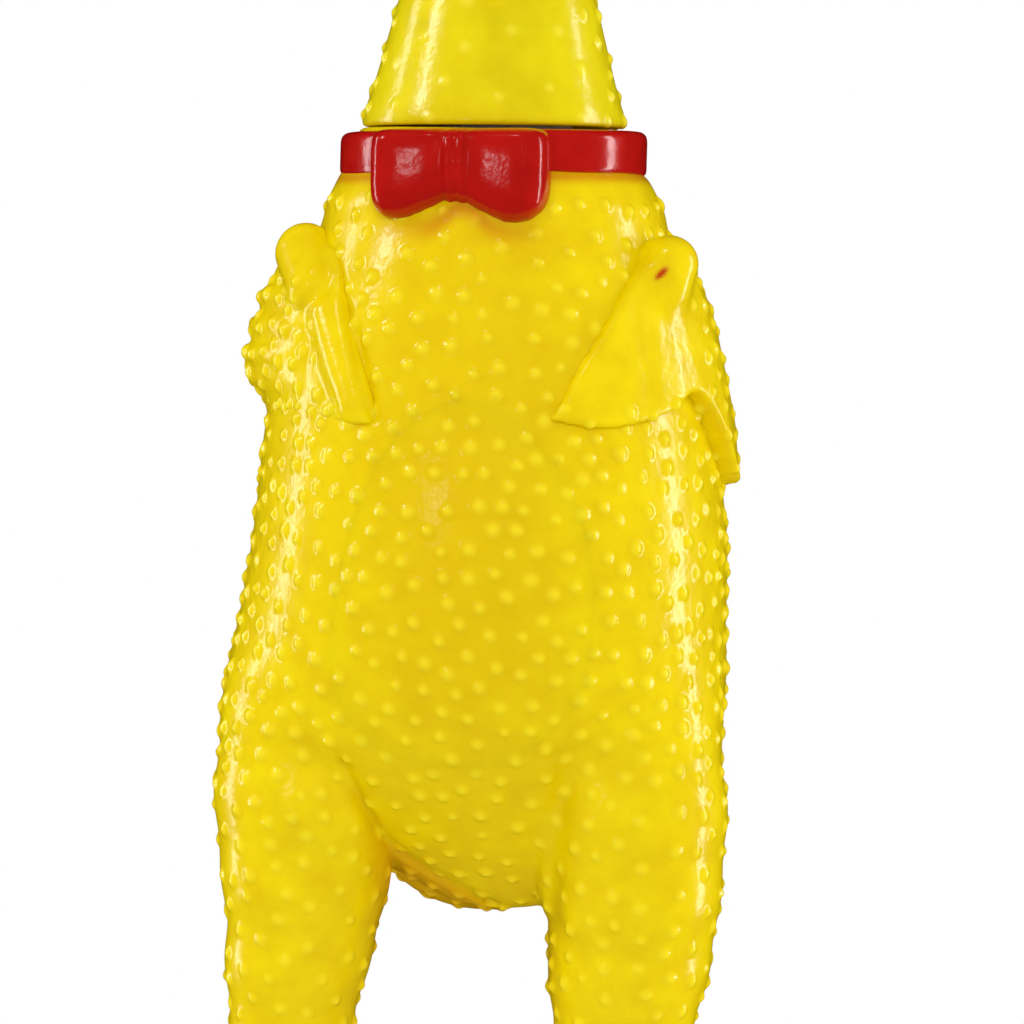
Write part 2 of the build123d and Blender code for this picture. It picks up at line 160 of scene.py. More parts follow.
# The front edge and the hem of each wing, seen from the breastbone: degrees round, and height.
LEFT_FRONT = [
    (21.0, 173.8), (25.2, 177.0), (29.8, 181.5), (39.6, 188.7), (49.0, 195.3), (66.0, 203.4), (70.0, 205.0),
]
LEFT_HEM = [
    (20.0, 174.2), (35.0, 172.8), (46.0, 173.5), (57.0, 175.2), (70.0, 178.0),
    (82.0, 169.2), (92.0, 163.6), (112.0, 166.5),
]
RIGHT_FRONT = [(24.0, 170.6), (37.0, 187.0), (54.0, 202.4), (62.0, 207.0)]
RIGHT_HEM = [(20.0, 173.2), (28.0, 172.3), (40.0, 173.2), (60.0, 174.2), (90.0, 172.4), (112.0, 175.0)]
WING_BACK = 106.0       # degrees round
LEFT_CROWN = 202.0
RIGHT_CROWN = 201.2
BLADE_HEIGHT = 1.7      # how far the blade stands off the torso
BLADE_RISE = 2.1        # how much more it stands off toward the back
LEFT_LOBE = ((29.8, -12.6, 199.0), (29.4, -13.4, 195.6), 4.9, 4.5)
RIGHT_LOBE = ((29.7, -11.0, 199.4), (26.9, -17.6, 194.2), 4.9, 4.5)
QUILL = ((23.6, -21.6, 189.5), (18.2, -29.1, 175.6), 3.1, 3.1)  # the right wing's one stout feather

# How strongly each paint covers the yellow at its thickest, how strong the painted shade in the middle of
# the belly is, and where the red fleck is.
BOW_DRIFT = 0.55
BAND_DRIFT = 0.5
RUMP_TINT = 0.27
PAINTED_BELLY_SHADE = 0.65
FLECK = (29.6, 197.7)

# The neck: height and radius.
NECK = [
    (219.0, 22.1), (223.0, 21.3), (228.0, 19.8), (234.0, 18.2), (240.5, 16.5),
    (248.0, 14.4), (257.0, 12.9), (266.0, 13.0),
]
NECK_BOTTOM = 220.75
NECK_TILT = 0.02        # the neck's lower edge follows the band's tilt
NECK_TOP = 266.0

# Ellipsoids of the head: middle and radii. Those beside the middle are on the chicken's left.
SKULL = ((0.0, -2.0, 272.0), (15.0, 17.0, 16.0))
CHEEK = ((8.5, -9.0, 268.0), (6.5, 7.5, 7.5))
MOUTH = ((0.0, -19.0, 269.6), (6.6, 8.5, 6.8))
WATTLE = ((7.0, -19.0, 255.0), (2.6, 4.2, 6.4))
EYE = ((11.4, -9.8, 277.5), (4.2, 5.2, 5.2))
PUPIL = ((14.4, -12.0, 277.7), (1.7, 2.4, 2.6))

# Beaks: middle of the base, middle of the tip, and half the width and height at each.
UPPER_BEAK = ((0, -10.0, 279.6), (0, -37.5, 276.5), (8.6, 6.2), (1.8, 1.5))
LOWER_BEAK = ((0, -11.0, 263.6), (0, -34.5, 252.0), (8.0, 5.2), (2.0, 1.2))
PALATE = ((0, -8.0, 271.0), (0, -34.0, 274.0), 3.6, 0.6)        # rods: ends and radii
DISH = ((0, -10.0, 271.0), (0, -31.0, 257.6), 4.2, 1.0)
TONGUE = ((0, -13.0, 265.6), (0, -28.5, 257.4), 2.4, 1.6)

# Comb: depth, height and radius of its root and lobes.
COMB_ROOT = (1.0, 284.0, 11.0)
COMB_LOBES = [(-11.0, 288.0, 5.2), (-3.5, 296.4, 7.2), (6.0, 295.4, 6.7), (13.5, 287.5, 5.7)]
COMB_HALF_THICK = 2.9

# Camera and lights, in metres and degrees.
AIM = Vector((0, 0, 0.1576))
AIM_SHIFT = 0.00465         # how far the picture's middle is to the right of the toy's
FRAME_HEIGHT = 0.169
CAMERA_AZIMUTH = 6.0
CAMERA_ELEVATION = 3.0
CAMERA_ROLL = 1.6
LENS = 180
FILL = 0.67
FLOOR_RADIUS = 0.4
FLOOR_FADE = (0.06, 0.22)   # the floor is solid out to the first distance and gone at the second
# Each soft light's place seen from the camera, its size and power, and whether it is mirrored.
SOFTBOXES = {
    "key": (6, 14, (0.35, 0.35), 3.2, False),
    "left_strip": (-108, 2, (0.10, 0.9), 2.6, True),
    "right_strip": (98, 2, (0.10, 0.9), 3.8, True),
    "left_high": (-76, 32, (0.12, 0.2), 1.4, True),
    "front_low": (-26, 6, (0.04, 0.06), 0.2, True),
    "front_high": (-20, 58, (0.05, 0.07), 0.5, True),
}


# ---- Distance fields ------------------------------------------------------------------------
def blend_min(a, b, width):
    """The nearer of two distances, with a fillet about as wide as width."""
    h = np.clip(0.5 + 0.5 * (b - a) / width, 0, 1)
    return b + (a - b) * h - width * h * (1 - h)


def blend_max(a, b, width):
    return -blend_min(-a, -b, width)


def curve(at, points, column=1):
    """A smooth curve through points, whose first column is the position and column the value."""
    knots = np.array([p[0] for p in points], float)
    values = np.array([p[column] for p in points], float)
    slopes = np.gradient(values, knots)
    i = np.clip(np.searchsorted(knots, at) - 1, 0, len(knots) - 2)
    span = knots[i + 1] - knots[i]
    t = np.clip((at - knots[i]) / span, 0, 1)
    return (
        values[i] * (1 + 2 * t) * (1 - t) ** 2
        + slopes[i] * span * t * (1 - t) ** 2
        + values[i + 1] * t * t * (3 - 2 * t)
        + slopes[i + 1] * span * t * t * (t - 1)
    ).astype(np.float32)


def ellipsoid(x, y, z, center, radii):
    u, v, w = ((p - c) / r for p, c, r in zip((x, y, z), center, radii))
    far = np.sqrt(u * u + v * v + w * w)
    steep = np.sqrt((u / radii[0]) ** 2 + (v / radii[1]) ** 2 + (w / radii[2]) ** 2)
    return far * (far - 1) / np.maximum(steep, 1e-6)


def rod(x, y, z, start, end, start_r, end_r):
    """A round rod that tapers from one end to the other."""
    along = [b - a for a, b in zip(start, end)]
    squared = sum(d * d for d in along)
    px, py, pz = (p - a for p, a in zip((x, y, z), start))
    t = np.clip((px * along[0] + py * along[1] + pz * along[2]) / squared, 0, 1)
    reach = np.sqrt(
        (px - t * along[0]) ** 2 + (py - t * along[1]) ** 2 + (pz - t * along[2]) ** 2
    )
    return reach - (start_r + (end_r - start_r) * t)


def torso_field(x, y, z):
    """The egg-shaped trunk, measured level by level along the radius."""
    low = np.clip((118.0 - z) / 22.0, 0, 1)
    level = z + BOTTOM_TILT * x * low * low
    wide, front, back = (curve(level, TORSO, column) for column in (1, 2, 3))
    deep = np.where(y < 0, front, back)
    radius = np.sqrt(x * x + y * y)
    share = np.sqrt((x / wide) ** 2 + (y / deep) ** 2)
    gap = radius - radius / np.maximum(share, 1e-3)
    gap = np.where(share < 1e-3, -wide, gap)
    return blend_max(blend_max(gap, TORSO_BOTTOM - level, 3.0), z - TORSO_TOP, 1.5)


def rump_field(x, y, z):
    """The rump under the back, with the short tail."""
    return blend_min(ellipsoid(x, y, z, *RUMP), rod(x, y, z, *TAIL), 6.0)


def leg_field(x, y, z):
    """Both legs, by symmetry, with the feet."""
    side = np.abs(x)
    stouter = LEFT_LEG_STOUTER * np.sign(x)
    leg = None
    for (start, start_r), (end, end_r) in zip(LEG, LEG[1:]):
        piece = rod(side, y, z, start, end, start_r, end_r)
        leg = piece if leg is None else blend_min(leg, piece, 3.0)
    foot = None
    ankle_x, ankle_y = LEG[-1][0][:2]
    for length, heading in TOES:
        turn = math.radians(heading)
        tip = (ankle_x + length * math.sin(turn), ankle_y - length * math.cos(turn))
        toe = toe_field(side, y, z, (ankle_x, ankle_y), tip)
        foot = toe if foot is None else blend_min(foot, toe, 1.5)
    return blend_min(leg - stouter, foot, 4.0)


def toe_field(x, y, z, root, tip):
    """One toe: two knuckles and a short claw."""
    def point(share, height):
        return tuple(a + share * (b - a) for a, b in zip(root, tip)) + (height,)

    toe = rod(x, y, z, point(0.1, 4.6), point(0.42, 2.6), 3.4, 2.7)
    toe = blend_min(toe, rod(x, y, z, point(0.42, 2.6), point(0.86, 2.2), 2.7, 2.3), 0.8)
    knuckle = ellipsoid(x, y, z, point(0.5, 2.8), (2.9, 2.9, 2.7))
    toe = blend_min(toe, knuckle, 1.0)
    return blend_min(toe, rod(x, y, z, point(0.86, 2.2), point(1.0, 1.3), 1.7, 0.9), 0.8)


def groove(x, z, path, depth, width):
    """A crease that follows a path of (x, z) points up the front."""
    near = None
    for (x0, z0), (x1, z1) in zip(path, path[1:]):
        off = rod(x, 0.0, z, (x0, 0.0, z0), (x1, 0.0, z1), 0.0, 0.0)
        near = off if near is None else np.minimum(near, off)
    return depth * np.exp(-((near / width) ** 2))


def body_field(x, y, z):
    """Trunk, rump and legs. The fold between belly and thigh is sharp on the chicken's right."""
    x = x - curve(z, SWAY)
    trunk = blend_min(torso_field(x, y, z), rump_field(x, y, z), 3.0)
    inward = np.clip((30.0 - np.abs(x)) / 7.0, 0, 1) * (y < 5)
    fillet = 4.0 - np.where(x < 0, 3.4, 2.8) * inward
    whole = blend_min(trunk, leg_field(x, y, z), fillet)
    folds = groove(x, z, RIGHT_FOLD, 1.5, 0.9) + groove(x, z, LEFT_FOLD, 1.1, 2.0)
    folds = folds + groove(x, z, WING_CREASE, 0.9, 0.9)
    whole = whole + folds * (y < 0)
    return blend_max(whole, -z, 0.8)


# ---- Surfaces -------------------------------------------------------------------------------
def surface(field, low, high, spacing):
    """Points, in millimetres, and quads on the zero surface of a distance field."""
    lines = [np.arange(a, b, spacing, dtype=np.float32) for a, b in zip(low, high)]
    x, y, z = lines[0][:, None, None], lines[1][None, :, None], lines[2][None, None, :]
    shape = [len(line) for line in lines]
    values = np.array(np.broadcast_to(field(x, y, z), shape), dtype=np.float32)
    grid = openvdb.FloatGrid(5.0)
    grid.copyFromArray(values)
    points, quads = grid.convertToQuads(0.0)
    return np.array(points, float) * spacing + np.array(low), np.array(quads)


def to_bmesh(points, quads):
    """A smooth-shaded bmesh with its faces outward."""
    bm = bmesh.new()
    verts = [bm.verts.new(p) for p in points]
    for quad in quads:
        bm.faces.new([verts[i] for i in quad]).smooth = True
    if bm.calc_volume(signed=True) < 0:
        bmesh.ops.reverse_faces(bm, faces=bm.faces)
    bm.normal_update()
    return bm


def scatter_pimples(bm, spacing, height, seed):
    """Raises round pimples, spaced by chance, and notes in "tip" how near each vertex is to a top, where
    the vinyl paints a highlight.

    spacing and height are functions of a point.
    """
    rng = np.random.default_rng(seed)
    verts = list(bm.verts)
    tree = kdtree.KDTree(len(verts))
    for i, v in enumerate(verts):
        tree.insert(v.co, i)
    tree.balance()
    blocked = np.zeros(len(verts), bool)
    lift = np.zeros(len(verts))
    share = np.zeros(len(verts))
    for i in rng.permutation(len(verts)):
        if blocked[i]:
            continue
        center = verts[i].co
        room = spacing(center)
        if room is None:
            blocked[i] = True
            continue
        room *= rng.uniform(0.85, 1.2)
        radius = min(0.48 * room, rng.uniform(1.15, 1.75))
        tall = height(center) * rng.uniform(0.7, 1.2)
        for _, j, away in tree.find_range(center, room):
            blocked[j] = True
            if away < radius:
                near = (1 - (away / radius) ** 2) ** 1.7
                share[j] = max(share[j], near)
                lift[j] = max(lift[j], tall * near)
    normals = [v.normal.copy() for v in verts]
    # Kept for the painted highlight on the pimple tops.
    tip = bm.verts.layers.float.new("tip")
    for v, normal, up, near in zip(bm.verts, normals, lift, share):
        v.co += normal * float(up)
        v[tip] = float(near)
    bm.normal_update()


def split(bm, cuts, label):
    """Cuts a bmesh along planes and returns {label: bmesh}, each part closed over its cuts."""
    for chosen, point, normal in cuts:
        faces = [f for f in bm.faces if chosen(f.calc_center_median())]
        geometry = set(faces)
        for f in faces:
            geometry.update(f.edges)
            geometry.update(f.verts)
        bmesh.ops.bisect_plane(
            bm, geom=list(geometry), dist=1e-5, plane_co=point, plane_no=normal
        )
    bm.normal_update()
    bm.verts.index_update()
    groups = {}
    for f in bm.faces:
        groups.setdefault(label(f.calc_center_median()), []).append(f)
    parts = {}
    old_tip = bm.verts.layers.float.get("tip")
    for name, faces in groups.items():
        part = bmesh.new()
        made = {}
        layer = part.verts.layers.float_vector.new("kept_normal")
        tip = part.verts.layers.float.new("tip")
        for f in faces:
            for v in f.verts:
                if v.index not in made:
                    made[v.index] = part.verts.new(v.co)
                    made[v.index][layer] = v.normal
                    made[v.index][tip] = v[old_tip]
            part.faces.new([made[v.index] for v in f.verts]).smooth = True
        rim = [e for e in part.edges if e.is_boundary]
        bmesh.ops.holes_fill(part, edges=rim, sides=0)
        parts[name] = part
    return parts


def make_piece(name, bm, material, **paints):
    """A Blender object in metres from a bmesh in millimetres, keeping normals across the cuts.

    paints are functions from places to how much of each paint is there, by the paint's name.
    """
    layer = bm.verts.layers.float_vector.get("kept_normal")
    normals = [tuple(v[layer] if layer else v.normal) for v in bm.verts]
    bmesh.ops.triangulate(bm, faces=[f for f in bm.faces if len(f.verts) > 4])
    bmesh.ops.scale(bm, vec=(MM, MM, MM), verts=bm.verts)
    mesh = bpy.data.meshes.new(name)
    bm.to_mesh(mesh)
    bm.free()
    if mesh.attributes.get("kept_normal"):
        mesh.attributes.remove(mesh.attributes["kept_normal"])
    mesh.normals_split_custom_set_from_vertices(normals)
    spots = np.empty(len(mesh.vertices) * 3)
    mesh.vertices.foreach_get("co", spots)
    for paint, cover in paints.items():
        layer = mesh.attributes.new(paint, "FLOAT", "POINT")
        layer.data.foreach_set("value", cover(spots.reshape(-1, 3) / MM).astype(np.float32))
    mesh.materials.append(material)
    piece = bpy.data.objects.new(name, mesh)
    bpy.context.collection.objects.link(piece)
    return piece


def place(piece, body, slot, *nodes):
    """Ties a finished piece to its body and hides the CAD nodes it stands for."""
    if body:
        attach(piece, body)
    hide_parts(*nodes)
    return piece


def relief(name, field, low, high, spacing, material, mirrored=False):
    """A small closed piece straight from its distance field."""
    points, quads = surface(field, low, high, spacing)
    if mirrored:
        points[:, 0] *= -1
    return make_piece(name, to_bmesh(points, quads), material)


# ---- Materials --------------------------------------------------------------------------------
def linear(red, green, blue):
    """A colour given in display values from 0 to 255."""
    def channel(value):
        share = value / 255
        return share / 12.92 if share < 0.04 else ((share + 0.055) / 1.055) ** 2.4

    return (channel(red), channel(green), channel(blue), 1.0)


def vinyl(name, color, shade, roughness=0.19, grain=0.03, stain=None, tip=None, deep=None):
    """Glossy soft vinyl: two close shades mottled together, a fine grain, and optional paints.

    stain covers the surface where "tint" says so, deep is a painted shade laid where "depth" says so, and
    tip is a painted highlight that lightens the tops of the pimples.
    """
    material = bpy.data.materials.new(name)
    material.use_nodes = True
    nodes, links = material.node_tree.nodes, material.node_tree.links
    shader = nodes["Principled BSDF"]
    shader.inputs["Roughness"].default_value = roughness
    shader.inputs["Specular IOR Level"].default_value = 0.35
    shader.inputs["Subsurface Weight"].default_value = 0.12
    shader.inputs["Subsurface Radius"].default_value = (1.0, 0.6, 0.1)
    shader.inputs["Subsurface Scale"].default_value = 2.5 * MM
    place_in_space = nodes.new("ShaderNodeTexCoord")

    def noise(scale, detail):
        texture = nodes.new("ShaderNodeTexNoise")
        texture.inputs["Scale"].default_value = scale
        texture.inputs["Detail"].default_value = detail
        links.new(place_in_space.outputs["Object"], texture.inputs["Vector"])
        return texture.outputs["Fac"]

    def mix(amount, below, above):
        node = nodes.new("ShaderNodeMix")
        node.data_type = "RGBA"
        links.new(amount, node.inputs["Factor"])
        for socket, paint in (("A", below), ("B", above)):
            if isinstance(paint, tuple):
                node.inputs[socket].default_value = paint
            else:
                links.new(paint, node.inputs[socket])
        return node.outputs["Result"]

    def painted(attribute, limit=1.0):
        node = nodes.new("ShaderNodeAttribute")
        node.attribute_name = attribute
        less = nodes.new("ShaderNodeMath")
        less.operation = "MULTIPLY"
        less.inputs[1].default_value = limit
        links.new(node.outputs["Fac"], less.inputs[0])
        return less.outputs["Value"]

    contrast = nodes.new("ShaderNodeMapRange")
    contrast.inputs["From Min"].default_value = 0.3
    contrast.inputs["From Max"].default_value = 0.7
    links.new(noise(170.0, 6.0), contrast.inputs["Value"])
    result = mix(contrast.outputs["Result"], color, shade)
    # Painted shade: a deeper yellow where the 'depth' attribute says so.
    if deep:
        result = mix(painted("depth"), result, deep)
    # Painted highlight: the pimple tops are lightened where the 'tip' attribute says so.
    if tip:
        result = mix(painted("tip", 0.6), result, tip)
    if stain:
        result = mix(painted("tint"), result, stain)
    links.new(result, shader.inputs["Base Color"])
    bump = nodes.new("ShaderNodeBump")
    bump.inputs["Strength"].default_value = 1.0
    bump.inputs["Distance"].default_value = grain * MM
    links.new(noise(700.0, 3.0), bump.inputs["Height"])
    links.new(bump.outputs["Normal"], shader.inputs["Normal"])
    return material


# The body's yellow. deep is a painted shade for the middle of the belly, tip is a painted highlight on the
# pimple tops, and stain is the red overspray.
YELLOW = vinyl(
    "body_yellow", linear(243, 217, 0), linear(230, 198, 0), grain=0.08,
    stain=linear(190, 24, 12), tip=linear(250, 230, 40), deep=linear(222, 184, 0),
)
# The neck's yellow, with the same painted highlight (tip) on its pimple tops; stain is the red paint in the
# mouth.
LEMON = vinyl(
    "neck_yellow", linear(235, 217, 8), linear(222, 202, 4), grain=0.07,
    stain=linear(150, 16, 12), tip=linear(248, 234, 60),
)
RED = vinyl("red_paint", linear(184, 20, 14), linear(166, 14, 10), roughness=0.15, grain=0.05)
ORANGE = vinyl("beak_orange", linear(240, 140, 12), linear(228, 118, 6), grain=0.03)
WHITE = vinyl("eye_white", linear(244, 244, 238), linear(236, 236, 230), grain=0.0)
BLACK = vinyl("pupil_black", linear(16, 16, 16), linear(24, 22, 20), grain=0.0)


# ---- Body skin --------------------------------------------------------------------------------
def pimple_spacing(p):
    """How far apart the pimples stand at a point of the body, or None where the skin is smooth."""
    if p.z < PIMPLED_BODY[0] or p.z > PIMPLED_BODY[1]:
        return None
    low, high = BELLY_PIMPLE_RANGE
    return BELLY_PIMPLES if low < p.z <= high else BODY_PIMPLES


def pimple_height(p):
    return BELLY_PIMPLE_HEIGHT if p.z > BELLY_PIMPLE_RANGE[0] else PIMPLE_HEIGHT


def overspray(spots):
    """How much red is on the yellow: drift under bow and band, a tint at the rump, one fleck."""
    x, y, z = spots.T
    front = y < 0
    edge = 205.3 - 0.1 * np.abs(x + 2.5) + 3.4 * np.exp(-(((x + 1.5) / 3.5) ** 2))
    under_bow = np.exp(-(((x + 2.0) / 10) ** 2 + ((z - edge + 1.0) / 2.0) ** 2)) * front
    below_band = np.exp(-((z - COLLAR_TILT * x - 212.4) ** 2)) * (np.hypot(x, y) > 22)
    rump = np.clip((95.0 - 0.76 * x - z) / 1.5, 0, 1) * (z > 84) * np.clip((17 - np.abs(x)) / 4, 0, 1)
    fleck_x, fleck_z = x - FLECK[0], z - FLECK[1]
    fleck = np.exp(-(((fleck_x - fleck_z) / 0.8) ** 2 + ((fleck_x + fleck_z) / 2.0) ** 2) ** 2) * front
    return np.clip(BOW_DRIFT * under_bow + BAND_DRIFT * below_band + RUMP_TINT * rump + fleck, 0, 1)


def belly_painted_shade(spots):
    """Painted shade: how much darker the yellow is painted toward the middle of the belly, at the front."""
    x, y, z = spots.T
    return PAINTED_BELLY_SHADE * np.exp(-((x / 18) ** 2) - ((z - 158) / 50) ** 2) * (y < 0)


def seam_plane(side):
    """A point on the hip seam and its normal, which points down the leg."""
    (x0, z0), (x1, z1) = HIP_SEAM
    run, rise = x1 - x0, z1 - z0
    length = math.hypot(run, rise)
    return Vector((side * x0, 0, z0)), Vector((side * rise / length, 0, -run / length))


def belly_plane():
    (y0, z0), (y1, z1) = BELLY_LOW, BELLY_HIGH
    return Vector((0, y0, z0)), Vector((0, -(z1 - z0), y1 - y0)).normalized()


def in_belly(p):
    point, normal = belly_plane()
    return abs(p.x) < BELLY_HALF_WIDTH and p.z > BELLY_BOTTOM and (p - point).dot(normal) > 0


def side_of(p):
    return "left" if p.x > 0 else "right"


def body_label(p):
    """Which piece of the skin a point belongs to."""
    if in_belly(p):
        return "belly"
    point, normal = seam_plane(1 if p.x > 0 else -1)
    if (p - point).dot(normal) < 0:
        return "torso"
    if p.z > KNEE_FADE[0]:
        return side_of(p) + "_thigh"
    return side_of(p) + ("_shank" if p.z > ANKLE_FADE[0] else "_foot")


def body_skin():
    """One skin over torso and legs, divided where the toy bends."""
    points, quads = surface(body_field, (-47, -42, -1.5), (47, 42, 222), BODY_GRID)
    bm = to_bmesh(points, quads)
    scatter_pimples(bm, pimple_spacing, pimple_height, SEED)
    point, normal = belly_plane()
    cuts = [
        (lambda p: p.y < -15 and p.z > BELLY_BOTTOM and abs(p.x) < BELLY_HALF_WIDTH + 2, point, normal)
    ]
    for side in (-1, 1):
        point, normal = seam_plane(side)
        cuts.append((lambda p, s=side: p.x * s > 0 and 80 < p.z < 135, point, normal))
    for height in (KNEE_FADE[0], ANKLE_FADE[0]):
        low, high = height - 3, height + 3
        cuts.append((lambda p, a=low, b=high: a < p.z < b, (0, 0, height), (0, 0, 1)))
    parts = split(bm, cuts, body_label)
    bm.free()
    return parts


def add_body():
    parts = body_skin()
    # Body pieces carry the red overspray as 'tint' and the painted belly shade as 'depth'.
    torso = make_piece("torso_skin", parts["torso"], YELLOW, tint=overspray, depth=belly_painted_shade)
    place(torso, "torso", "body_vinyl", "torso_skin")
    belly = make_piece("belly_skin", parts["belly"], YELLOW, tint=overspray, depth=belly_painted_shade)
    place(belly, "torso", "body_vinyl", "belly_panel")
    point, normal = belly_plane()
    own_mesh(belly)
    for side, sign in (("left", 1), ("right", -1)):
        point, normal = seam_plane(sign)
        limb = {
            "thigh": ("torso", point, point + normal * HIP_FADE),
            "shank": ("thigh_" + side, Vector((0, 0, KNEE_FADE[0])), Vector((0, 0, KNEE_FADE[1]))),
            "foot": ("shank_" + side, Vector((0, 0, ANKLE_FADE[0])), Vector((0, 0, ANKLE_FADE[1]))),
        }
        for part, (parent, start, end) in limb.items():
            name = f"{side}_{part}"
            piece = make_piece(name + "_skin", parts[name], YELLOW, tint=overspray, depth=belly_painted_shade)
            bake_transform(piece)
            place(piece, None, "body_vinyl", name)


# ---- Collar and bow ---------------------------------------------------------------------------
def collar_field(x, y, z):
    """The band: a ring with rounded edges, whose lower edge wanders a little."""
    radius = np.sqrt(x * x + y * y)
    turn = np.arctan2(x, -y)
    z = z - COLLAR_TILT * x
    low = COLLAR_Z[0] + 0.25 * np.sin(3 * turn + 0.6) + 0.15 * np.sin(7 * turn)
    band = blend_max(radius - COLLAR_R, z - COLLAR_Z[1], 1.8)
    band = blend_max(band, low - z, 0.8)
    return blend_max(band, COLLAR_BORE_R - radius, 0.5)


def loop_field(x, y, z, side):
    """One loop of the bow: a pillow that hangs lower away from the knot."""
    across = side * x
    drop = LEFT_LOOP_DROP if side > 0 else 0.0
    ripple = 0.09 * np.sin(2.3 * x) * np.sin(0.9 * x)
    low = LOOP_BOTTOM - drop - LOOP_SLOPE * np.clip(across - 1.0, 0, 8) + ripple
    low = low + 0.4 * drop * np.clip(across - 8.0, 0, 6)
    middle, tall = (BOW_TOP + low) / 2, (BOW_TOP - low) / 2
    u = np.abs((across - LOOP_MIDDLE[0]) / LOOP_HALF[0]) ** 4
    w = np.abs((z - middle) / tall) ** 4
    v = np.abs((y - LOOP_MIDDLE[1]) / LOOP_HALF[1]) ** 2.4
    return ((u + v + w) ** (1 / 3) - 1) * 5.6


def bow_field(x, y, z):
    """Two loops and a creased knot, turned a little off the middle, level with the band's top."""
    turn = math.radians(BOW_TURN)
    x, y = x * math.cos(turn) + y * math.sin(turn), y * math.cos(turn) - x * math.sin(turn)
    bow = blend_min(loop_field(x, y, z, 1), loop_field(x, y, z, -1), 2.0)
    creases = 0.3 * np.cos(x * 2.6) * (np.abs(x) < 3)
    knot = ellipsoid(x, y, z, *KNOT) + creases
    bow = blend_max(blend_min(bow, knot, 1.2), z - COLLAR_TILT * x - COLLAR_Z[1], 1.6)
    return blend_max(bow, 22.0 - np.sqrt(x * x + y * y), 0.5)


def add_collar():
    band = relief(
        "collar_band", collar_field, (-28, -28, 208), (28, 28, 222), RELIEF_GRID, RED
    )
    place(band, "torso", "red_paint", "collar_band")
    bow = relief("bow_tie", bow_field, (-20, -36, 199), (20, -16, 222), RELIEF_GRID, RED)
    place(bow, "torso", "red_paint", "bow_tie")


# ---- Wings --------------------------------------------------------------------------------------
def quarter_round(inside, reach):
    """From 0 at an edge to 1 at reach inside it, rounded like a pillow."""
    away = 1 - np.clip(inside / reach, 0, 1)
    return np.sqrt(np.clip(1 - away * away, 0, 1))


def ramp(share):
    """From 0 to 1, flat at both ends."""
    share = np.clip(share, 0, 1)
    return share * share * (3 - 2 * share)


def wing_field(x, y, z, side, front_edge, hem_edge):
    """A folded wing, drawn at +X: a lobe at the shoulder over a thin blade that lies on the torso."""
    x = x - side * curve(z, SWAY)
    turn = np.degrees(np.arctan2(x, -y))
    over = torso_field(x, y, z)
    front = (turn - curve(z, [(h, t) for t, h in front_edge])) * 0.55
    hem = z - curve(turn, hem_edge)
    back = (WING_BACK - turn) * 0.6
    crown = (LEFT_CROWN if side > 0 else RIGHT_CROWN) - 0.006 * (turn - 66.0) ** 2 - z
    inside = -blend_max(blend_max(-front, -hem, 1.0), blend_max(-back, -crown, 4.0), 3.0)
    behind = np.clip((turn - 50.0) / 30.0, 0, 1)
    height = BLADE_HEIGHT + BLADE_RISE * behind
    if side < 0:
        height = height - 0.6 + 1.9 * behind + 0.5 * behind * np.cos((z - 178.0) * 1.3)
        fade = ramp((turn - 28.0) / 12.0)
        hem_rise = (1 - fade) * quarter_round(hem, 1.3) + fade * ramp(hem / 9.0)
    else:
        fan = np.degrees(np.arctan2(turn - 62.0, 210.0 - z))
        height = height + 0.03 * np.cos(fan * 0.45) * np.clip((198 - z) / 14, 0, 1)
        height = height - 0.5 * behind * np.clip((173 - z) / 6, 0, 1)
        hem_rise = quarter_round(hem, 1.3)
    height = height * quarter_round(front, 1.1) * hem_rise
    height = height * quarter_round(back, 5.0) * quarter_round(crown, 8.0) - 0.8 * (inside <= 0)
    plate = np.maximum(over - height, -inside * 0.7)
    lobe = rod(x, y, z, *(LEFT_LOBE if side > 0 else RIGHT_LOBE))
    wing = blend_min(plate, lobe, 3.0 if side > 0 else 1.2)
    if side < 0:
        wing = blend_min(wing, rod(x, y, z, *QUILL), 1.8)
    return np.maximum(wing, -over - 1.2)


def left_wing_field(x, y, z):
    return wing_field(x, y, z, 1, LEFT_FRONT, LEFT_HEM)


def right_wing_field(x, y, z):
    return wing_field(x, y, z, -1, RIGHT_FRONT, RIGHT_HEM)


def left_wing_spacing(p):
    """Pimples only behind and along the hem: the blade is smooth."""
    turn = math.degrees(math.atan2(abs(p.x), -p.y))
    return LEFT_WING_PIMPLES if turn > 72 or p.z < 177.5 else None


def right_wing_spacing(p):
    """Pimples everywhere behind the blade, below the lobe."""
    turn = math.degrees(math.atan2(abs(p.x), -p.y))
    return RIGHT_WING_PIMPLES if p.z < 195 and turn > 37 + 0.7 * (p.z - 172) else None


def add_wings():
    low, high = (8, -42, 158), (47, 18, 209)
    for side, sign, field, spacing in (
        ("left", 1, left_wing_field, left_wing_spacing),
        ("right", -1, right_wing_field, right_wing_spacing),
    ):
        points, quads = surface(field, low, high, WING_GRID)
        points[:, 0] *= sign
        bm = to_bmesh(points, quads)
        scatter_pimples(bm, spacing, lambda p: PIMPLE_HEIGHT, SEED + 1)
        wing = make_piece(side + "_wing_skin", bm, YELLOW, tint=overspray)
        place(wing, "wing_" + side, "body_vinyl", side + "_wing")


# ---- Neck and head ------------------------------------------------------------------------------
def neck_field(x, y, z):
    radius = np.sqrt(x * x + y * y)
    return blend_max(radius - curve(z, NECK), NECK_BOTTOM + NECK_TILT * x - z, 0.9)


def head_field(x, y, z):
    head = blend_min(ellipsoid(x, y, z, *SKULL), ellipsoid(np.abs(x), y, z, *CHEEK), 4.0)
    return blend_max(head, -mouth_field(x, y, z), 1.0)


def mouth_field(x, y, z):
    """The hollow between the beaks, down to the lower beak's root."""
    return ellipsoid(x, y, z, *MOUTH)


